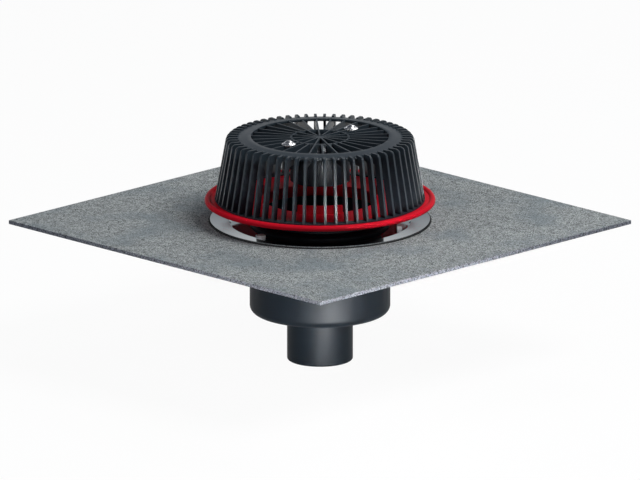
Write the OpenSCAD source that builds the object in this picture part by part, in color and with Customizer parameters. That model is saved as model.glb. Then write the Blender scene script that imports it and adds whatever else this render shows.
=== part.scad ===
// Flat roof drain with a bonded sealing sheet, a clamped flange, a raised dam ring
// and a ribbed leaf basket. Millimetres, +Z up. The origin is the centre of the
// outlet's lower end, and the sides of the sheet run along X and Y.

/* [Outlet] */
// Outer diameter of the outlet spigot, made for a 75 mm pipe socket
outlet_d = 75; // [70:1:90]
// Free length of the spigot below the pot
outlet_l = 56; // [45:1:90]
// Wall of the spigot
outlet_wall = 3; // [2.5:0.5:4]

/* [Pot] */
// Outer diameter of the pot
pot_d = 160; // [158:1:162]
// Height from the bottom of the pot to the top of the sheet
pot_h = 107; // [95:1:140]
// Wall of the pot
pot_wall = 4; // [3:0.5:5]
// Radius between the wall and the bottom of the pot
pot_round = 8.7; // [6:0.1:12]
// Number of gussets between the pot and the body's flange
gusset_count = 12; // [6:3:24]

/* [Sealing sheet] */
// Side of the square sheet
sheet_side = 500; // [350:10:600]
// Thickness of the sheet
sheet_t = 4.5; // [3:0.5:6]
// Diameter at which the sheet starts to dip towards the outlet
dish_d = 257; // [254:1:260]
// Slope of the dip, in degrees
dish_angle = 7.5; // [5:0.5:9]

/* [Clamp flange] */
// Outer diameter of the steel clamp flange
flange_d = 250; // [246:1:252]
// Diameter of the hole in the clamp flange
flange_hole_d = 161; // [161:0.5:163]
// Thickness of the clamp flange
flange_t = 1.5; // [1:0.5:3]
// Thickness of the gasket below the clamp flange
gasket_t = 1; // [1:0.5:2]
// Diameter of the flat seat that the bolts stand on
seat_d = 202; // [202:1:206]
// Depth of the flat seat below the top of the sheet
seat_depth = 5.8; // [5:0.1:6.5]
// Number of flange bolts
bolt_count = 3; // [3:1:6]
// Diameter of the circle that the flange bolts stand on
bolt_circle_d = 190; // [186:1:200]

/* [Dam tube and dam ring] */
// Outer diameter of the tube's neck
neck_d = 140; // [134:1:142]
// Diameter of the tube's foot, which fits inside the clamp flange
foot_d = 159; // [156:0.5:159]
// Height of the dam ring's plate above the sheet
plate_top = 25.2; // [20:0.1:40]
// Height of the dam's edge above the sheet
dam_h = 35; // [30:1:50]
// Outer diameter of the dam ring
dam_ring_d = 262; // [256:1:266]
// Number of raised segments on the dam ring
dam_segments = 4; // [2:1:6]

/* [Leaf basket] */
// Number of ribs round the side
rib_count = 60; // [36:12:60]
// Width of a rib
rib_w = 2.8; // [2:0.1:3.2]
// Depth of a rib, square to its outer edge
rib_depth = 9; // [6:0.5:11]
// Lean of the ribs from the vertical, in degrees
rib_lean = 10.2; // [6:0.2:12]
// Radius on which the ribs turn into the top
shoulder_r = 5.3; // [3:0.1:8]
// Height of the rib tops above the sheet
basket_top = 98.3; // [80:0.1:110]
// Thickness of a spoke in the top grille
spoke_w = 1.8; // [1.4:0.1:2.2]
// Depth of the spokes
spoke_depth = 12; // [8:1:16]

/* [Air baffle and its screws] */
// Outer diameter of the collar below the grille
baffle_d = 68; // [60:1:72]
// Height of the collar's lower edge above the sheet
baffle_bottom = 48; // [44:1:60]
// Distance between the two basket screws
screw_pitch = 100; // [96:1:110]
// Diameter of the cup washers below the screw heads
washer_d = 16; // [14:0.5:18]

/* [Hidden] */
$fn = 120;
EPS = 0.01;                             // overshoot of a cutter past the face it cuts

// Heights in this group are measured from the top of the sheet.
sheet_top = outlet_l + pot_h;           // top of the sheet above the outlet's end
dish_r = dish_d / 2;
slope = tan(dish_angle);
sheet_hole_r = 84;                      // hole in the middle of the sheet
seat_r = seat_d / 2;
step_w = 2.4;                           // width of the step from the seat up to the slope
bolt_hole_r = 3.5;
gasket_margin = 1.6;                    // the gasket shows this far past the flange

// M6 flange bolts and their moulded-in brass inserts
bolt_r = 3;
bolt_head_af = 10;
bolt_head_h = 4;
bolt_l = 20;
insert_r = 4.5;
insert_l = 10;
boss_r = 9;
boss_depth = 16;                        // from the flange's lower face to the boss's end

// Body flange and throat
body_flange_r = dish_r - 0.5;            // stays inside the dip, so the sheet lies flat on the deck
body_flange_t = 6;
throat_r = pot_d / 2 - pot_wall;        // bore that takes the dam tube
lip_r = sheet_hole_r - 0.5;             // rim round the throat, inside the sheet's hole
lip_top = -7;
gusset_w = 4;
gusset_depth = 24;

// Dam tube
tube_bore_r = 66.5;
tube_low_r = throat_r - 3.5;            // the part inside the throat
tube_bottom = -44;
ledge_top = 1.4;
foot_chamfer = 2.7;
groove_top = -26;                       // groove for the lip seal
groove_h = 8;
groove_d = 2;

// Dam ring
plate_t = 3;
bead_r = 3.3;
bead_c = dam_ring_d / 2 - bead_r;       // radius of the rounded edge's centre line
ring_sleeve_l = 10;                     // sleeve that plugs into the tube's neck
ring_sleeve_t = 3;
upstand_t = 2.5;
segment_angle = 43;

// Leaf basket
shoulder_c = 102;                       // radius of the shoulder arc's centre
shoulder_z = basket_top - shoulder_r;   // height of the shoulder arc's centre
base_ring_h = 1.8;
grille_r = 78.4;                        // opening of the grille
crown_r = 94;                           // outer edge of the crown ring
crown_in_z = basket_top + 0.5;          // top of the crown ring at the grille
crown_out_z = crown_in_z - 1.5;         // and at its outer edge
crown_t = 3;
hub_ring_r = 33.9;
hub_ring_t = 2.2;
hub_r = 6.5;
hub_setback = 0.4;
spoke_count = rib_count / 2;
spoke_start = 6;                        // angle of the first spoke, in line with a rib
spoke_out_r = 100;                      // where a spoke meets the inside of its rib
screw_boss_r = 6.5;

// Basket screws and cup washers
screw_r = 2.5;
screw_l = 26;
screw_head_r = 6;
screw_head_h = 3.6;
washer_rim_h = 1.2;
washer_cup_h = 1.8;

// Air baffle
baffle_t = 2.5;
baffle_boss_depth = 16;

// Height of the sheet's top surface at radius r: a flat seat round the throat, the
// slope of the dip and the flat sheet outside it.
function dish(r) = r <= seat_r ? -seat_depth : r < dish_r ? -(dish_r - r) * slope : 0;

// Radius of the ribs' outer edge at height z, on the straight part of the side.
function rib_outer(z) = shoulder_c + shoulder_r * cos(rib_lean)
    + (shoulder_z + shoulder_r * sin(rib_lean) - z) * tan(rib_lean);

// Radius of the ribs' inner edge at height z.
function rib_inner(z) = rib_outer(z) - rib_depth / cos(rib_lean);

// Heights inside the modules are measured from the top of the sheet.
module from_sheet() translate([0, 0, sheet_top]) children();

// Puts its children at each flange bolt.
module at_bolts() {
    for (i = [0 : bolt_count - 1])
        rotate(-90 + i * 360 / bolt_count)
            translate([bolt_circle_d / 2, 0, 0]) children();
}

// Puts its children at the two basket screws.
module at_screws() {
    for (side = [-1, 1])
        translate([0, side * screw_pitch / 2, 0]) children();
}

// In a section, X is the radius and Y the height. Subtracted, this outline rounds
// off a lower outside corner that stands at the origin.
module corner_cut(r) {
    difference() {
        translate([-r, -EPS]) square([r + EPS, r + EPS]);
        translate([-r, r]) circle(r);
    }
}

// Outline that fills the inside corner below a shoulder and outside a neck with a
// fillet. Subtracted, it flares the mouth of a bore that opens upwards instead.
module corner_fill(r) {
    difference() {
        translate([-EPS, -r]) square([r + EPS, r + EPS]);
        translate([r, -r]) circle(r);
    }
}

// Round layer that follows the dish from r_in to r_out, z0 above the sheet's top
// surface and t thick.
module dished_layer(r_in, r_out, z0, t) {
    radii = [r_in, seat_r, seat_r + step_w, r_out];
    rotate_extrude()
        polygon([for (r = radii) [r, dish(r) + z0],
                 for (i = [3 : -1 : 0]) [radii[i], dish(radii[i]) + z0 + t]]);
}

// The same layer, drilled for the bolts.
module drilled_layer(r_in, r_out, z0, t) {
    difference() {
        dished_layer(r_in, r_out, z0, t);
        at_bolts() translate([0, 0, z0 - seat_depth - 1])
            cylinder(r = bolt_hole_r, h = t + 2);
    }
}

// Section of the pot and the spigot, on the outside.
module pot_outline() {
    difference() {
        translate([0, -pot_h]) square([pot_d / 2, pot_h + lip_top]);
        translate([pot_d / 2, -pot_h]) corner_cut(pot_round);
    }
    difference() {
        translate([0, -sheet_top]) square([outlet_d / 2, outlet_l + EPS]);
        translate([outlet_d / 2, -sheet_top]) corner_cut(2.3);
    }
    translate([outlet_d / 2, -pot_h]) corner_fill(2);
}

// Section of the space inside the pot and the spigot.
module pot_cavity() {
    floor_z = -pot_h + pot_wall;
    bore_r = outlet_d / 2 - outlet_wall;
    difference() {
        translate([0, floor_z]) square([throat_r, pot_h - pot_wall + EPS]);
        translate([throat_r, floor_z]) corner_cut(pot_round - 2);
    }
    translate([0, -sheet_top - EPS]) square([bore_r, outlet_l + pot_wall + 2 * EPS]);
    translate([bore_r, floor_z]) corner_fill(3);
}

module gully_body() color("#2b3036") from_sheet() {
    boss_end = -seat_depth - sheet_t - body_flange_t - boss_depth;
    difference() {
        union() {
            rotate_extrude() difference() {
                pot_outline();
                pot_cavity();
            }
            body_flange();
            for (i = [0 : gusset_count - 1])
                rotate(i * 360 / gusset_count) gusset();
            at_bolts() translate([0, 0, boss_end]) cylinder(r = boss_r, h = boss_depth + 2);
        }
        at_bolts() translate([0, 0, boss_end + 2])
            cylinder(r = insert_r, h = boss_depth + body_flange_t);
    }
}

// Dished flange of the body, with a raised lip round the throat.
module body_flange() {
    dished_layer(pot_d / 2 - 1, body_flange_r, -sheet_t - body_flange_t, body_flange_t);
    rotate_extrude()
        polygon([[throat_r, lip_top], [lip_r, lip_top],
                 [lip_r, -seat_depth - sheet_t - 2], [throat_r, -seat_depth - sheet_t - 2]]);
}

// One triangular gusset below the body's flange.
module gusset() {
    r_out = body_flange_r - 4;
    z_in = -seat_depth - sheet_t - body_flange_t / 2;
    z_out = dish(r_out) - sheet_t - body_flange_t / 2;
    rotate([90, 0, 0]) translate([0, 0, -gusset_w / 2]) linear_extrude(gusset_w)
        polygon([[pot_d / 2 - 1, z_in], [seat_r, z_in], [r_out, z_out],
                 [r_out, z_out - body_flange_t], [pot_d / 2 - 1, z_in - gusset_depth]]);
}

module threaded_inserts() color("#b08d4a") from_sheet() at_bolts() {
    translate([0, 0, -seat_depth - sheet_t - insert_l]) difference() {
        cylinder(r = insert_r, h = insert_l);
        translate([0, 0, -EPS]) cylinder(r = bolt_r, h = insert_l + 2 * EPS);
    }
}

module connection_sheet() color("#84898c") from_sheet() {
    drilled_layer(sheet_hole_r, dish_r, -sheet_t, sheet_t);
    translate([0, 0, -sheet_t]) linear_extrude(sheet_t) difference() {
        square(sheet_side, center = true);
        circle(dish_r);
    }
}

module flange_gasket() color("#16191c") from_sheet()
    drilled_layer(sheet_hole_r, flange_d / 2 + gasket_margin, 0, gasket_t);

module clamp_flange() color("#c9ccce") from_sheet()
    drilled_layer(flange_hole_d / 2, flange_d / 2, gasket_t, flange_t);

// One hexagon bolt, its head's lower face at height zero.
module hex_bolt() {
    intersection() {
        cylinder(r = bolt_head_af / sqrt(3), h = bolt_head_h, $fn = 6);
        translate([0, 0, bolt_head_h / 2])
            rotate_extrude()
                polygon([[0, -bolt_head_h / 2], [7, -bolt_head_h / 2],
                         [7, bolt_head_h / 2 - 1.2], [4.9, bolt_head_h / 2],
                         [0, bolt_head_h / 2]]);
    }
    translate([0, 0, -bolt_l]) cylinder(r = bolt_r, h = bolt_l + EPS);
}

module flange_bolts() color("#d3d6d8") from_sheet() at_bolts()
    translate([0, 0, -seat_depth + gasket_t + flange_t]) hex_bolt();

module dam_tube() color("#1d2226") from_sheet() rotate_extrude() {
    difference() {
        union() {
            translate([tube_bore_r, tube_bottom])
                square([tube_low_r - tube_bore_r, lip_top - tube_bottom + EPS]);
            translate([tube_bore_r, lip_top])
                polygon([[0, 0], [foot_d / 2 - tube_bore_r, 0],
                         [foot_d / 2 - tube_bore_r, ledge_top - lip_top - foot_chamfer],
                         [foot_d / 2 - tube_bore_r - foot_chamfer, ledge_top - lip_top],
                         [0, ledge_top - lip_top]]);
            translate([tube_bore_r, ledge_top - EPS])
                square([neck_d / 2 - tube_bore_r, plate_top - plate_t - ledge_top + EPS]);
            translate([neck_d / 2, ledge_top]) mirror([0, 1]) corner_fill(1.5);
        }
        translate([tube_low_r - groove_d, groove_top - groove_h])
            square([groove_d + 1, groove_h]);
        translate([tube_low_r, tube_bottom]) corner_cut(1.5);
    }
}

// Rubber seal with two lips that touch the throat.
module tube_seal() color("#0f1113") from_sheet() rotate_extrude() {
    base_r = tube_low_r - groove_d;
    lip = throat_r - base_r;
    translate([base_r, groove_top - groove_h])
        polygon([[0, 0], [groove_d, 0], [lip, 2.4], [lip, 3.2], [groove_d, 2.6],
                 [groove_d, 4.2], [lip, 6.6], [lip, 7.4], [groove_d, groove_h],
                 [0, groove_h]]);
}

module dam_ring() color("#c01a26") from_sheet() {
    bottom = plate_top - plate_t;
    in_r = tube_bore_r - ring_sleeve_t;
    rotate_extrude() {
        translate([in_r, bottom]) square([bead_c - in_r, plate_t]);
        translate([bead_c, plate_top - 1]) circle(bead_r);
        translate([in_r, bottom - ring_sleeve_l])
            square([ring_sleeve_t, ring_sleeve_l + EPS]);
    }
    for (i = [0 : dam_segments - 1])
        rotate(-45 + i * 360 / dam_segments - segment_angle / 2)
            rotate_extrude(angle = segment_angle)
                translate([neck_d / 2 - upstand_t, plate_top - EPS])
                    square([upstand_t, dam_h - plate_top + EPS]);
}

// Section of a rib: a straight side that leans inwards, an arc at the shoulder
// and a short run inwards below the crown ring.
module rib_outline() {
    in_r = crown_r - 1;
    low_z = plate_top + base_ring_h / 2;
    high_z = basket_top - crown_t - 2;
    translate([shoulder_c, shoulder_z]) circle(shoulder_r);
    polygon([[rib_outer(low_z), low_z],
             [shoulder_c + shoulder_r * cos(rib_lean), shoulder_z + shoulder_r * sin(rib_lean)],
             [shoulder_c, shoulder_z],
             [shoulder_c, basket_top],
             [in_r, basket_top],
             [in_r, high_z],
             [rib_inner(high_z), high_z],
             [rib_inner(low_z), low_z]]);
}

// One upright bar of the grille, from radius r_in out to the inside of a rib. Its
// upper edge drops below the crown ring.
module spoke(r_in) {
    low_z = basket_top - spoke_depth;
    rotate([90, 0, 0]) translate([0, 0, -spoke_w / 2]) linear_extrude(spoke_w)
        polygon([[r_in, low_z], [spoke_out_r, low_z], [spoke_out_r, crown_out_z - 1],
                 [crown_r, crown_out_z - 1], [grille_r + 1, basket_top],
                 [r_in, basket_top]]);
}

// The grille's middle: an upright ring, and a hub where half the spokes meet. Both
// stand back a little from the edges of the spokes.
module grille_middle() {
    h = spoke_depth - 2 * hub_setback;
    translate([0, 0, basket_top - spoke_depth + hub_setback]) {
        cylinder(r = hub_r, h = h);
        difference() {
            cylinder(r = hub_ring_r, h = h);
            translate([0, 0, -EPS])
                cylinder(r = hub_ring_r - hub_ring_t, h = h + 2 * EPS);
        }
    }
}

module leaf_basket() color("#262b2f") from_sheet() {
    difference() {
        union() {
            for (i = [0 : rib_count - 1])
                rotate(i * 360 / rib_count) rotate([90, 0, 0])
                    translate([0, 0, -rib_w / 2]) linear_extrude(rib_w) rib_outline();
            for (i = [0 : spoke_count - 1])
                rotate(spoke_start + i * 360 / spoke_count)
                    spoke(i % 2 == 0 ? hub_ring_r - 1 : hub_r - 1);
            grille_middle();
            at_screws() translate([0, 0, basket_top - spoke_depth])
                cylinder(r = screw_boss_r, h = spoke_depth);
            rotate_extrude() {
                polygon([[grille_r, crown_in_z - crown_t], [grille_r, crown_in_z],
                         [crown_r, crown_out_z], [crown_r, crown_out_z - crown_t]]);
                translate([rib_inner(plate_top) - 0.5, plate_top])
                    square([rib_outer(plate_top + base_ring_h) - rib_inner(plate_top) + 0.5,
                            base_ring_h]);
            }
        }
        at_screws() translate([0, 0, basket_top - spoke_depth - EPS])
            cylinder(r = screw_r, h = spoke_depth + 2 * EPS);
    }
}

// Collar that hangs below the grille and keeps air out of the outlet.
module air_baffle() color("#22272b") from_sheet() {
    top = basket_top - spoke_depth;
    difference() {
        union() {
            translate([0, 0, baffle_bottom])
                cylinder(d = baffle_d, h = top - baffle_bottom);
            at_screws() translate([0, 0, top - baffle_boss_depth])
                cylinder(r = screw_boss_r, h = baffle_boss_depth);
            for (side = [0, 180]) rotate(90 + side)
                translate([baffle_d / 2 - 1, -2, top - baffle_boss_depth])
                    cube([screw_pitch / 2 - baffle_d / 2, 4, baffle_boss_depth]);
        }
        translate([0, 0, baffle_bottom - EPS])
            cylinder(d = baffle_d - 2 * baffle_t, h = top - baffle_bottom + 2 * EPS);
        at_screws() translate([0, 0, top - baffle_boss_depth + 1])
            cylinder(r = screw_r, h = baffle_boss_depth);
    }
}

// Cup washer: a flat brim with a raised collar round the screw's head.
module screw_washers() color("#d9dcdf") from_sheet() at_screws()
    translate([0, 0, basket_top]) rotate_extrude()
        polygon([[screw_r, 0], [washer_d / 2, 0], [washer_d / 2, 0.6],
                 [screw_head_r + 0.8, washer_rim_h], [screw_head_r, washer_cup_h],
                 [screw_head_r, 1], [screw_r, 1]]);

module basket_screws() color("#e4e6e8") from_sheet() at_screws()
    translate([0, 0, basket_top + 1]) {
        dome_r = (pow(screw_head_r, 2) + pow(screw_head_h, 2)) / (2 * screw_head_h);
        rotate_extrude() intersection() {
            translate([0, screw_head_h - dome_r]) circle(dome_r);
            square([screw_head_r, screw_head_h]);
        }
        translate([0, 0, -screw_l]) cylinder(r = screw_r, h = screw_l + EPS);
    }

gully_body();
threaded_inserts();
connection_sheet();
flange_gasket();
clamp_flange();
flange_bolts();
dam_tube();
tube_seal();
dam_ring();
leaf_basket();
air_baffle();
screw_washers();
basket_screws();
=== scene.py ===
"""Finishes, studio and camera for a flat roof drain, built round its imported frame.

The frame gives the shape and the place of every piece. Each class below dresses
one sub-assembly: it softens the edges that moulding, pressing and turning leave
soft, and gives each piece the finish of the real one. Lengths are in metres
unless a name ends in _mm.
"""

import logging
import math
from dataclasses import dataclass
from enum import Enum
from typing import Protocol

import bpy
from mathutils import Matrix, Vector


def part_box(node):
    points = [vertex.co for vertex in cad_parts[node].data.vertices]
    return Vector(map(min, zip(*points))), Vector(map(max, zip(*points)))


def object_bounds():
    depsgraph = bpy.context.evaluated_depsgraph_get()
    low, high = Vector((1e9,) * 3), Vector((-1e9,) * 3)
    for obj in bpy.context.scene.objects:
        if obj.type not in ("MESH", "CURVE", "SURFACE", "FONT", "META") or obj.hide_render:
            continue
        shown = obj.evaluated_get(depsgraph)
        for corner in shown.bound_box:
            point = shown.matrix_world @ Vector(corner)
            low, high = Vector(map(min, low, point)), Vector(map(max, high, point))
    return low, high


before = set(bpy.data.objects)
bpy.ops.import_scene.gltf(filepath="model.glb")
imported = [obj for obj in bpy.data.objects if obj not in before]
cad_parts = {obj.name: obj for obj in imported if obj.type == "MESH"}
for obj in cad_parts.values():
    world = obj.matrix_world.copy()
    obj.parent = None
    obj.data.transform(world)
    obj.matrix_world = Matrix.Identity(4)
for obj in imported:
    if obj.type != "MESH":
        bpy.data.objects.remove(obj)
CAD_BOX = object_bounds()

LOG = logging.getLogger("flat_roof_drain")
MM = 0.001

PLASTIC_IOR = 1.49
RUBBER_IOR = 1.52
BITUMEN_IOR = 1.6

# Facets whose corners lie this close together are joined before their edges are rounded.
JOIN_MM = 0.002

# Edges that turn by more degrees than this are rounded, in this many facets.
SHARP_DEGREES = 34
ROUND_FACETS = 2


class Edge(Enum):
    """How far a piece's sharp edges are rounded, in millimetres."""

    CUT = 0.25
    MOULDED = 0.4
    TURNED = 0.15


class Ray(Enum):
    """Rays that can see a backdrop, by the name of their Light Path output."""

    CAMERA = "Is Camera Ray"
    GLOSSY = "Is Glossy Ray"
    TRANSMISSION = "Is Transmission Ray"


def srgb(colour: str) -> tuple[float, float, float, float]:
    """Turns an sRGB hex value into the linear colour that the shaders take.

    Args:
        colour: the value as "#rrggbb".

    Returns:
        Red, green, blue and a full alpha.
    """
    parts = [int(colour[i : i + 2], 16) / 255 for i in (1, 3, 5)]
    red, green, blue = [
        c / 12.92 if c <= 0.04045 else ((c + 0.055) / 1.055) ** 2.4 for c in parts
    ]
    return red, green, blue, 1.0


def per_metre(size_mm: float) -> float:
    """Texture scale at which one feature is size_mm wide."""
    return 1 / (size_mm * MM)


def add_node(
    tree: bpy.types.NodeTree,
    kind: str,
    settings: dict[str | int, object] | None = None,
    links: dict[str | int, bpy.types.NodeSocket] | None = None,
) -> bpy.types.Node:
    """Adds one node with its settings and links.

    Args:
        tree: the material's or the world's node tree.
        kind: Blender's name for the type of node.
        settings: values by socket name or number, or by the node's own property.
        links: the output that feeds each named or numbered input.

    Returns:
        The new node.
    """
    node = tree.nodes.new(kind)
    for key, value in (settings or {}).items():
        if isinstance(key, int) or key in node.inputs:
            node.inputs[key].default_value = value
        else:
            setattr(node, key, value)
    for key, source in (links or {}).items():
        tree.links.new(source, node.inputs[key])
    return node


def seen_by(tree: bpy.types.NodeTree, *rays: Ray) -> bpy.types.NodeSocket:
    """Adds a test that is 1 for the given kinds of ray and 0 for the rest.

    Args:
        tree: the material's or the world's node tree.
        rays: the kinds of ray.

    Returns:
        The output that holds the test.
    """
    path = add_node(tree, "ShaderNodeLightPath").outputs
    test = path[rays[0].value]
    for ray in rays[1:]:
        test = add_node(
            tree,
            "ShaderNodeMath",
            {"operation": "MAXIMUM"},
            {0: test, 1: path[ray.value]},
        ).outputs[0]
    return test


def new_material(name: str) -> tuple[bpy.types.Material, bpy.types.NodeTree, bpy.types.NodeSocket]:
    """Makes an empty material.

    Args:
        name: the material's name.

    Returns:
        The material, its node tree and the coordinates of the piece in metres.
    """
    material = bpy.data.materials.new(name)
    material.use_nodes = True
    tree = material.node_tree
    tree.nodes.clear()
    place = add_node(tree, "ShaderNodeTexCoord").outputs["Object"]
    return material, tree, place


class Finish(Protocol):
    """Anything that can make a material."""

    def build(self) -> bpy.types.Material:
        """Makes the material."""
        ...


@dataclass(frozen=True)
class MouldedPolymer:
    """Injection-moulded plastic or rubber, with the fine grain of a spark-eroded mould.

    Attributes:
        name: the material's name.
        colour: the material's own colour.
        cloud: the slightly different colour where the melt flowed.
        roughness: from 0, a mirror, to 1.
        gloss: strength of the reflection at right angles to the surface.
        ior: how strongly the material bends light.
        smear: how far the roughness varies from flow cloud to flow cloud.
        grain_mm: width of the mould's grain.
        relief_mm: height of the grain.
        cloud_mm: width of the flow clouds.
    """

    name: str
    colour: str
    cloud: str
    roughness: float
    gloss: float = 0.5
    ior: float = PLASTIC_IOR
    smear: float = 0.05
    grain_mm: float = 0.9
    relief_mm: float = 0.02
    cloud_mm: float = 28.0

    def build(self) -> bpy.types.Material:
        """Makes the material.

        Returns:
            The new material.
        """
        material, tree, place = new_material(self.name)
        clouds = add_node(
            tree,
            "ShaderNodeTexNoise",
            {"Scale": per_metre(self.cloud_mm), "Detail": 3.0, "Roughness": 0.6},
            {"Vector": place},
        )
        grain = add_node(
            tree,
            "ShaderNodeTexNoise",
            {"Scale": per_metre(self.grain_mm), "Detail": 2.0},
            {"Vector": place},
        )
        tint = add_node(
            tree,
            "ShaderNodeMixRGB",
            {"Color1": srgb(self.colour), "Color2": srgb(self.cloud)},
            {"Fac": clouds.outputs["Fac"]},
        )
        sheen = add_node(
            tree,
            "ShaderNodeMapRange",
            {"To Min": self.roughness - self.smear, "To Max": self.roughness + self.smear},
            {"Value": clouds.outputs["Fac"]},
        )
        relief = add_node(
            tree,
            "ShaderNodeBump",
            {"Strength": 1.0, "Distance": self.relief_mm * MM},
            {"Height": grain.outputs["Fac"]},
        )
        shader = add_node(
            tree,
            "ShaderNodeBsdfPrincipled",
            {"IOR": self.ior, "Specular IOR Level": self.gloss},
            {
                "Base Color": tint.outputs["Color"],
                "Roughness": sheen.outputs["Result"],
                "Normal": relief.outputs["Normal"],
            },
        )
        add_node(tree, "ShaderNodeOutputMaterial", links={"Surface": shader.outputs["BSDF"]})
        return material


@dataclass(frozen=True)
class Metal:
    """Bare or plated metal, from mirror polish to tumbled.

    Attributes:
        name: the material's name.
        colour: the reflection seen straight on.
        rim: the reflection at a grazing angle.
        roughness: the mean roughness.
        smear: how far the roughness varies where hands and tools touched it.
        wave_mm: width of the shallow waves that pressing or turning leaves.
        relief_mm: height of the waves.
        smears_in_wave: number of smears across the width of one wave.
    """

    name: str
    colour: str
    rim: str
    roughness: float
    smear: float
    wave_mm: float = 6.0
    relief_mm: float = 0.01
    smears_in_wave: float = 6.0

    def build(self) -> bpy.types.Material:
        """Makes the material.

        Returns:
            The new material.
        """
        material, tree, place = new_material(self.name)
        waves = add_node(
            tree,
            "ShaderNodeTexNoise",
            {"Scale": per_metre(self.wave_mm), "Detail": 2.0},
            {"Vector": place},
        )
        smears = add_node(
            tree,
            "ShaderNodeTexNoise",
            {
                "Scale": per_metre(self.wave_mm / self.smears_in_wave),
                "Detail": 4.0,
                "Roughness": 0.7,
            },
            {"Vector": place},
        )
        polish = add_node(
            tree,
            "ShaderNodeMapRange",
            {
                "From Min": 0.3,
                "From Max": 0.7,
                "To Min": self.roughness - self.smear,
                "To Max": self.roughness + self.smear,
            },
            {"Value": smears.outputs["Fac"]},
        )
        relief = add_node(
            tree,
            "ShaderNodeBump",
            {"Strength": 1.0, "Distance": self.relief_mm * MM},
            {"Height": waves.outputs["Fac"]},
        )
        shader = add_node(
            tree,
            "ShaderNodeBsdfPrincipled",
            {
                "Base Color": srgb(self.colour),
                "Metallic": 1.0,
                "Specular Tint": srgb(self.rim),
            },
            {"Roughness": polish.outputs["Result"], "Normal": relief.outputs["Normal"]},
        )
        add_node(tree, "ShaderNodeOutputMaterial", links={"Surface": shader.outputs["BSDF"]})
        return material


@dataclass(frozen=True)
class MineralBitumen:
    """Bitumen sheet surfaced with fine crushed slate.

    The real granules are about 1 mm wide, too fine to show from the camera, so they
    are drawn as coarse as that needs.

    Attributes:
        name: the material's name.
        slate: colour of most granules.
        dark_slate: colour of the granules that lie deeper.
        weathered: bluish colour of the broad clouds.
        cut_edge: colour of the sheet where it is cut.
        granule_mm: width of a granule as drawn.
        clump_mm: width of a clump of granules.
        cloud_mm: width of the broad clouds.
        relief_mm: height of the granules.
        clump_share: how strongly the clumps shift the granules' brightness.
        darkest: pattern value at which a granule is wholly dark slate.
        lightest: pattern value at which it is wholly light slate.
        clear: pattern value below which the clouds don't show.
        cloudy: pattern value at which they are fullest.
        haze: how far the clouds cover the slate where they are fullest.
        edge_below: upward share of the normal below which the surface is a cut edge.
        top_above: upward share of the normal above which it is the top.
    """

    name: str = "mineral_surfaced_bitumen"
    slate: str = "#c0c6c6"
    dark_slate: str = "#161b1e"
    weathered: str = "#6d7a81"
    cut_edge: str = "#b4b8c4"
    granule_mm: float = 1.7
    clump_mm: float = 5.0
    cloud_mm: float = 80.0
    relief_mm: float = 0.35
    clump_share: float = 0.25
    darkest: float = 0.51
    lightest: float = 0.745
    clear: float = 0.45
    cloudy: float = 0.64
    haze: float = 0.5
    edge_below: float = 0.3
    top_above: float = 0.7

    def build(self) -> bpy.types.Material:
        """Makes the material.

        Returns:
            The new material.
        """
        material, tree, place = new_material(self.name)
        granules = add_node(
            tree,
            "ShaderNodeTexNoise",
            {"Scale": per_metre(self.granule_mm), "Detail": 4.0, "Roughness": 0.8},
            {"Vector": place},
        )
        clumps = add_node(
            tree,
            "ShaderNodeTexNoise",
            {"Scale": per_metre(self.clump_mm), "Detail": 3.0, "Roughness": 0.6},
            {"Vector": place},
        )
        clouds = add_node(
            tree,
            "ShaderNodeTexNoise",
            {"Scale": per_metre(self.cloud_mm), "Detail": 4.0, "Roughness": 0.55},
            {"Vector": place},
        )
        speckle = add_node(
            tree,
            "ShaderNodeMath",
            {"operation": "MULTIPLY_ADD", 1: self.clump_share},
            {0: clumps.outputs["Fac"], 2: granules.outputs["Fac"]},
        )
        depth = add_node(
            tree,
            "ShaderNodeMapRange",
            {"From Min": self.darkest, "From Max": self.lightest},
            {"Value": speckle.outputs[0]},
        )
        veil = add_node(
            tree,
            "ShaderNodeMapRange",
            {"From Min": self.clear, "From Max": self.cloudy, "To Max": self.haze},
            {"Value": clouds.outputs["Fac"]},
        )
        mineral = add_node(
            tree,
            "ShaderNodeMixRGB",
            {"Color1": srgb(self.dark_slate), "Color2": srgb(self.slate)},
            {"Fac": depth.outputs["Result"]},
        )
        top = add_node(
            tree,
            "ShaderNodeMixRGB",
            {"Color2": srgb(self.weathered)},
            {"Fac": veil.outputs["Result"], "Color1": mineral.outputs["Color"]},
        )
        facing = add_node(
            tree,
            "ShaderNodeSeparateXYZ",
            links={0: add_node(tree, "ShaderNodeNewGeometry").outputs["Normal"]},
        )
        upright = add_node(
            tree,
            "ShaderNodeMapRange",
            {
                "From Min": self.edge_below,
                "From Max": self.top_above,
                "To Min": 1.0,
                "To Max": 0.0,
            },
            {"Value": facing.outputs["Z"]},
        )
        speckled_edge = add_node(
            tree,
            "ShaderNodeMixRGB",
            {"Color1": srgb(self.dark_slate), "Color2": srgb(self.cut_edge)},
            {"Fac": depth.outputs["Result"]},
        )
        colour = add_node(
            tree,
            "ShaderNodeMixRGB",
            links={
                "Fac": upright.outputs["Result"],
                "Color1": top.outputs["Color"],
                "Color2": speckled_edge.outputs["Color"],
            },
        )
        relief = add_node(
            tree,
            "ShaderNodeBump",
            {"Strength": 0.6, "Distance": self.relief_mm * MM},
            {"Height": speckle.outputs[0]},
        )
        shader = add_node(
            tree,
            "ShaderNodeBsdfPrincipled",
            {"Roughness": 0.9, "IOR": BITUMEN_IOR, "Specular IOR Level": 0.25},
            {"Base Color": colour.outputs["Color"], "Normal": relief.outputs["Normal"]},
        )
        add_node(tree, "ShaderNodeOutputMaterial", links={"Surface": shader.outputs["BSDF"]})
        return material


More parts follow.
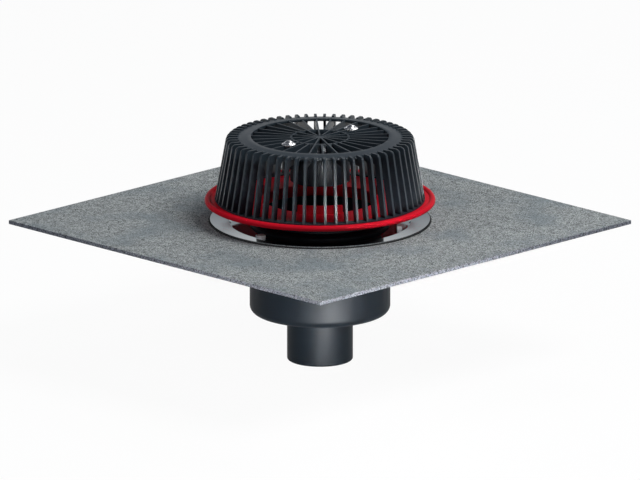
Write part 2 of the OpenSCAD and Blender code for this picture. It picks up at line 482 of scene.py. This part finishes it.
# Polypropylene, moulded with a fine grain: near-black, with a broad, silky light down the
# middle. Little gloss, so that the white floor doesn't grey its sides.
BODY_PLASTIC = MouldedPolymer(
    "body_polypropylene", "#0b1219", "#10181f", roughness=0.52, gloss=0.06
)

# The same plastic in the tube and the collar, from a smoother mould: a tighter, fainter light.
TUBE_PLASTIC = MouldedPolymer(
    "tube_polypropylene", "#14191f", "#181e24", roughness=0.42, gloss=0.06
)

# Glass-filled polyamide of the basket: charcoal, its flat tops grey and its rib edges lit.
BASKET_PLASTIC = MouldedPolymer(
    "basket_polyamide", "#262f36", "#2c353c", roughness=0.38, gloss=0.2, relief_mm=0.01
)

# Through-coloured red ABS: saturated, with so little gloss that the red stays clean.
RING_PLASTIC = MouldedPolymer(
    "ring_red_abs",
    "#cc1629",
    "#c21426",
    roughness=0.4,
    gloss=0.015,
    grain_mm=2.5,
    relief_mm=0.004,
)

# Nitrile rubber, moulded: black, with almost no shine.
SEAL_RUBBER = MouldedPolymer(
    "seal_nitrile_rubber", "#0e1012", "#15181a", roughness=0.75, gloss=0.3, ior=RUBBER_IOR
)

# Bright-rolled stainless steel: a mirror that the dam ring and the bolts show in.
FLANGE_STEEL = Metal(
    "flange_stainless",
    "#c8cbcd",
    "#c8cbcd",
    roughness=0.06,
    smear=0.02,
    wave_mm=60.0,
    relief_mm=0.02,
)

# Tumbled stainless bolts: bright, with a soft highlight on each face.
BOLT_STEEL = Metal("bolt_stainless", "#e8eaec", "#f0f2f3", roughness=0.4, smear=0.05)

# Zinc-plated cups and screws: nearly white where they face the light.
SCREW_STEEL = Metal("screw_zinc_plated", "#f0f1f2", "#f8f8f8", roughness=0.3, smear=0.05)

# Turned brass of the inserts: warm and slightly dull.
INSERT_BRASS = Metal(
    "insert_brass", "#c59b4c", "#e0c88a", roughness=0.3, smear=0.08, wave_mm=8.0
)


def dress(node: str, finish: bpy.types.Material, edge: Edge | None = None) -> None:
    """Gives one piece its finish and rounds its edges.

    Args:
        node: name of the piece in the frame.
        finish: the material.
        edge: how far its edges are rounded, or None to leave them.
    """
    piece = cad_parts[node]
    piece.data.materials.clear()
    piece.data.materials.append(finish)
    if edge is not None:
        joined = piece.modifiers.new("joined_facets", "WELD")
        joined.merge_threshold = JOIN_MM * MM
        rounded = piece.modifiers.new("rounded_edges", "BEVEL")
        rounded.width = edge.value * MM
        rounded.segments = ROUND_FACETS
        rounded.limit_method = "ANGLE"
        rounded.angle_limit = math.radians(SHARP_DEGREES)
        rounded.harden_normals = True
    LOG.info("%s: %s", node, finish.name)


@dataclass(frozen=True)
class OutletBody:
    """The pot with its spigot and flange, and the brass inserts moulded into it.

    Attributes:
        plastic: finish of the body.
        brass: finish of the inserts.
        edges: rounding of the body.
        insert_edges: rounding of the inserts.
    """

    plastic: Finish = BODY_PLASTIC
    brass: Finish = INSERT_BRASS
    edges: Edge = Edge.MOULDED
    insert_edges: Edge = Edge.TURNED

    def build(self) -> None:
        """Dresses the body and its inserts."""
        dress("gully_body", self.plastic.build(), self.edges)
        dress("threaded_inserts", self.brass.build(), self.insert_edges)


@dataclass(frozen=True)
class SealingSheet:
    """The square sheet that the roof's waterproofing is bonded to.

    Attributes:
        mineral: finish of the sheet.
        edges: rounding of its edges.
    """

    mineral: Finish = MineralBitumen()
    edges: Edge = Edge.CUT

    def build(self) -> None:
        """Dresses the sheet."""
        dress("connection_sheet", self.mineral.build(), self.edges)


@dataclass(frozen=True)
class ClampSet:
    """The steel flange that clamps the sheet, its gasket and its bolts.

    Attributes:
        flange: finish of the flange.
        bolts: finish of the bolts.
        rubber: finish of the gasket.
        bolt_edges: rounding of the bolts.
    """

    flange: Finish = FLANGE_STEEL
    bolts: Finish = BOLT_STEEL
    rubber: Finish = SEAL_RUBBER
    bolt_edges: Edge = Edge.TURNED

    def build(self) -> None:
        """Dresses the flange, the gasket and the bolts."""
        dress("clamp_flange", self.flange.build())
        dress("flange_gasket", self.rubber.build())
        dress("flange_bolts", self.bolts.build(), self.bolt_edges)


@dataclass(frozen=True)
class DamSet:
    """The tube in the throat, its lip seal and the red dam ring on top.

    Attributes:
        tube: finish of the tube.
        ring: finish of the dam ring.
        rubber: finish of the seal.
        edges: rounding of the tube and the ring.
    """

    tube: Finish = TUBE_PLASTIC
    ring: Finish = RING_PLASTIC
    rubber: Finish = SEAL_RUBBER
    edges: Edge = Edge.MOULDED

    def build(self) -> None:
        """Dresses the tube, the seal and the ring."""
        dress("dam_tube", self.tube.build(), self.edges)
        dress("tube_seal", self.rubber.build())
        dress("dam_ring", self.ring.build(), self.edges)


@dataclass(frozen=True)
class BasketSet:
    """The leaf basket, the collar below its grille and the screws that hold it.

    Attributes:
        plastic: finish of the basket.
        collar: finish of the collar.
        screws: finish of the screws and the cups that they sit in.
        edges: rounding of the basket and the collar.
        cup_edges: rounding of the cups.
    """

    plastic: Finish = BASKET_PLASTIC
    collar: Finish = TUBE_PLASTIC
    screws: Finish = SCREW_STEEL
    edges: Edge = Edge.MOULDED
    cup_edges: Edge = Edge.TURNED

    def build(self) -> None:
        """Dresses the basket, the collar, the cups and the screws."""
        dress("leaf_basket", self.plastic.build(), self.edges)
        dress("air_baffle", self.collar.build(), self.edges)
        bright = self.screws.build()
        dress("screw_washers", bright, self.cup_edges)
        dress("basket_screws", bright)


def around(azimuth: float, elevation: float, distance: float) -> Vector:
    """A point on a sphere about the origin.

    Args:
        azimuth: degrees round the object, 0 in front of its -Y side.
        elevation: degrees above the horizon.
        distance: metres from the origin.

    Returns:
        The point.
    """
    a, e = math.radians(azimuth), math.radians(elevation)
    return distance * Vector((math.sin(a) * math.cos(e), -math.cos(a) * math.cos(e), math.sin(e)))


@dataclass(frozen=True)
class Softbox:
    """A rectangular softbox that faces the object.

    Attributes:
        name: the lamp's name.
        turn: degrees from the camera round the object, to the right.
        elevation: degrees above the horizon.
        width: metres across.
        height: metres up.
        level: brightness that it alone gives a white surface that faces it; a grid
            gathers the light, so that the same level gives more.
        distance: metres from the object.
        spread: degrees over which its grid lets the light out, 180 without a grid.
        drop: metres that it stands and aims lower than the rest.
        gloss_only: whether it shows in the highlights only.
    """

    name: str
    turn: float
    elevation: float
    width: float
    height: float
    level: float
    distance: float = 2.6
    spread: float = 180.0
    drop: float = 0.0
    gloss_only: bool = False

    def build(self, aim: Vector, front: float) -> None:
        """Makes the lamp.

        Args:
            aim: the point that it faces.
            front: degrees round the object at which the camera stands.
        """
        lamp = bpy.data.lights.new(self.name, "AREA")
        lamp.shape = "RECTANGLE"
        lamp.size, lamp.size_y = self.width, self.height
        lamp.energy = math.pi**2 * self.distance**2 * self.level
        lamp.spread = math.radians(self.spread)
        holder = bpy.data.objects.new(self.name, lamp)
        aim = aim - Vector((0, 0, self.drop))
        holder.location = aim + around(front + self.turn, self.elevation, self.distance)
        holder.rotation_euler = (aim - holder.location).to_track_quat("-Z", "Y").to_euler()
        holder.visible_camera = False
        holder.visible_diffuse = not self.gloss_only
        bpy.context.scene.collection.objects.link(holder)


SOFTBOXES = (
    # High on the right, so that the ribs shade the inside.
    Softbox("key_softbox", turn=62, elevation=54, width=1.3, height=1.0, level=0.85),
    # Behind and on the left, to lift the sheet.
    Softbox("back_softbox", turn=150, elevation=46, width=0.7, height=0.4, level=0.15),
    Softbox("fill_softbox", turn=-65, elevation=32, width=1.4, height=0.8, level=0.24),
    # A long strip that draws the edges of the ribs.
    Softbox(
        "glint_strip", turn=20, elevation=5, width=5.0, height=0.5, level=0.7, gloss_only=True
    ),
    # Near the floor, for the edges of the sheet and the plastic below it.
    Softbox(
        "low_softbox",
        turn=10,
        elevation=-2,
        width=0.3,
        height=0.06,
        level=0.06,
        distance=0.9,
        spread=26,
        drop=0.06,
    ),
    # Beside it, for the sheen down the pot and the spigot.
    Softbox(
        "sheen_softbox",
        turn=18,
        elevation=-2,
        width=0.3,
        height=0.06,
        level=0.42,
        distance=0.9,
        spread=26,
        drop=0.06,
        gloss_only=True,
    ),
)


@dataclass(frozen=True)
class Studio:
    """A white floor, a soft sky and softboxes, with the camera.

    Attributes:
        view_azimuth: degrees round the object at which the camera stands.
        view_elevation: degrees above the horizon.
        lens_mm: focal length, long so that the view is nearly parallel.
        sensor_mm: width of the camera's sensor.
        field: width of the view at the object.
        aim_drop: how far below the top of the sheet the camera aims.
        floor_side: side of the floor.
        floor_glow: share of the floor that is plain white to the eye; the rest is lit
            paper, which keeps the shadow.
        floor_paper: colour of the paper.
        floor_bounce: colour of the light that the paper throws back, kept low so that
            the underside stays dark.
        sky_low: colour of the soft light near the horizon.
        sky_high: colour of the soft light overhead.
        low_sky: height at which the low colour starts to turn, as the share of up.
        high_sky: height at which it has become the high colour.
        white_sky: height at which the white horizon in metal and glass has faded.
        softboxes: the lamps.
    """

    view_azimuth: float = 45.0
    view_elevation: float = 15.0
    lens_mm: float = 1100.0
    sensor_mm: float = 36.0
    field: float = 0.7271
    aim_drop: float = 0.0233
    floor_side: float = 60.0
    floor_glow: float = 0.95
    floor_paper: str = "#f4f5f6"
    floor_bounce: str = "#2c3035"
    sky_low: str = "#3a4a62"
    sky_high: str = "#1a2230"
    low_sky: float = 0.1
    high_sky: float = 0.6
    white_sky: float = 0.5
    softboxes: tuple[Softbox, ...] = SOFTBOXES

    def build(self) -> None:
        """Makes the camera, the floor, the sky and the lamps."""
        low, _ = CAD_BOX
        aim = Vector((0, 0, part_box("connection_sheet")[1].z - self.aim_drop))
        self.build_camera(aim)
        self.build_floor(low.z)
        self.build_sky()
        for softbox in self.softboxes:
            softbox.build(aim, self.view_azimuth)
            LOG.info("%s: level %.2f", softbox.name, softbox.level)
        bpy.context.scene.view_settings.view_transform = "Standard"

    def build_camera(self, aim: Vector) -> None:
        """Makes the camera.

        Args:
            aim: the point in the middle of the view.
        """
        camera = bpy.data.objects.new("camera", bpy.data.cameras.new("camera"))
        camera.data.lens, camera.data.sensor_width = self.lens_mm, self.sensor_mm
        distance = self.field * self.lens_mm / self.sensor_mm
        camera.location = aim + around(self.view_azimuth, self.view_elevation, distance)
        camera.rotation_euler = (aim - camera.location).to_track_quat("-Z", "Y").to_euler()
        camera.data.clip_end = 4 * distance
        bpy.context.scene.collection.objects.link(camera)
        bpy.context.scene.camera = camera

    def build_floor(self, height: float) -> None:
        """Makes the floor: pale paper that keeps a faint shadow and is clear from below.

        Args:
            height: the height of the floor.
        """
        half = self.floor_side / 2
        mesh = bpy.data.meshes.new("studio_floor")
        corners = [(x * half, y * half, height) for x, y in ((-1, -1), (1, -1), (1, 1), (-1, 1))]
        mesh.from_pydata(corners, [], [(0, 1, 2, 3)])
        floor = bpy.data.objects.new("studio_floor", mesh)
        bpy.context.scene.collection.objects.link(floor)
        material, tree, _ = new_material("floor_white_paper")
        seen = seen_by(tree, Ray.CAMERA, Ray.GLOSSY, Ray.TRANSMISSION)
        tint = add_node(
            tree,
            "ShaderNodeMixRGB",
            {"Color1": srgb(self.floor_bounce), "Color2": srgb(self.floor_paper)},
            {"Fac": seen},
        )
        paper = add_node(tree, "ShaderNodeBsdfDiffuse", links={"Color": tint.outputs["Color"]})
        white = add_node(tree, "ShaderNodeEmission", {"Color": srgb("#ffffff"), "Strength": 1.0})
        share = add_node(
            tree,
            "ShaderNodeMath",
            {"operation": "MULTIPLY", 1: self.floor_glow},
            {0: seen},
        )
        lit = add_node(
            tree,
            "ShaderNodeMixShader",
            links={0: share.outputs[0], 1: paper.outputs[0], 2: white.outputs[0]},
        )
        clear = add_node(tree, "ShaderNodeBsdfTransparent")
        below = add_node(tree, "ShaderNodeNewGeometry").outputs["Backfacing"]
        both = add_node(
            tree,
            "ShaderNodeMixShader",
            links={0: below, 1: lit.outputs[0], 2: clear.outputs[0]},
        )
        add_node(tree, "ShaderNodeOutputMaterial", links={"Surface": both.outputs[0]})
        mesh.materials.append(material)

    def build_sky(self) -> None:
        """Makes the soft light from all round, bluish and darker overhead.

        To the camera the sky is white, as the floor is. In metal and in glass it is
        white at the horizon and fades upwards.
        """
        world = bpy.data.worlds.new("studio_sky")
        bpy.context.scene.world = world
        world.use_nodes = True
        tree = world.node_tree
        tree.nodes.clear()
        up = add_node(
            tree,
            "ShaderNodeSeparateXYZ",
            links={0: add_node(tree, "ShaderNodeTexCoord").outputs["Generated"]},
        ).outputs["Z"]
        rise = add_node(
            tree,
            "ShaderNodeMapRange",
            {"From Min": self.low_sky, "From Max": self.high_sky},
            {"Value": up},
        )
        tint = add_node(
            tree,
            "ShaderNodeMixRGB",
            {"Color1": srgb(self.sky_low), "Color2": srgb(self.sky_high)},
            {"Fac": rise.outputs["Result"]},
        )
        soft = add_node(
            tree, "ShaderNodeBackground", {"Strength": 1.0}, {"Color": tint.outputs["Color"]}
        )
        white = add_node(
            tree, "ShaderNodeBackground", {"Color": srgb("#ffffff"), "Strength": 1.0}
        )
        horizon = add_node(
            tree,
            "ShaderNodeMapRange",
            {"From Max": self.white_sky, "To Min": 1.0, "To Max": 0.0},
            {"Value": up},
        )
        band = add_node(
            tree,
            "ShaderNodeMath",
            {"operation": "MULTIPLY"},
            {0: horizon.outputs["Result"], 1: seen_by(tree, Ray.GLOSSY, Ray.TRANSMISSION)},
        )
        share = add_node(
            tree,
            "ShaderNodeMath",
            {"operation": "MAXIMUM"},
            {0: band.outputs[0], 1: seen_by(tree, Ray.CAMERA)},
        )
        both = add_node(
            tree,
            "ShaderNodeMixShader",
            links={0: share.outputs[0], 1: soft.outputs[0], 2: white.outputs[0]},
        )
        add_node(tree, "ShaderNodeOutputWorld", links={"Surface": both.outputs[0]})


def main() -> None:
    """Dresses the drain from the outlet up, then makes the studio."""
    logging.basicConfig(level=logging.INFO, format="%(name)s: %(message)s")
    for part in (OutletBody(), SealingSheet(), ClampSet(), DamSet(), BasketSet()):
        part.build()
        LOG.info("%s is dressed", type(part).__name__)
    Studio().build()


if __name__ == "__main__":
    main()
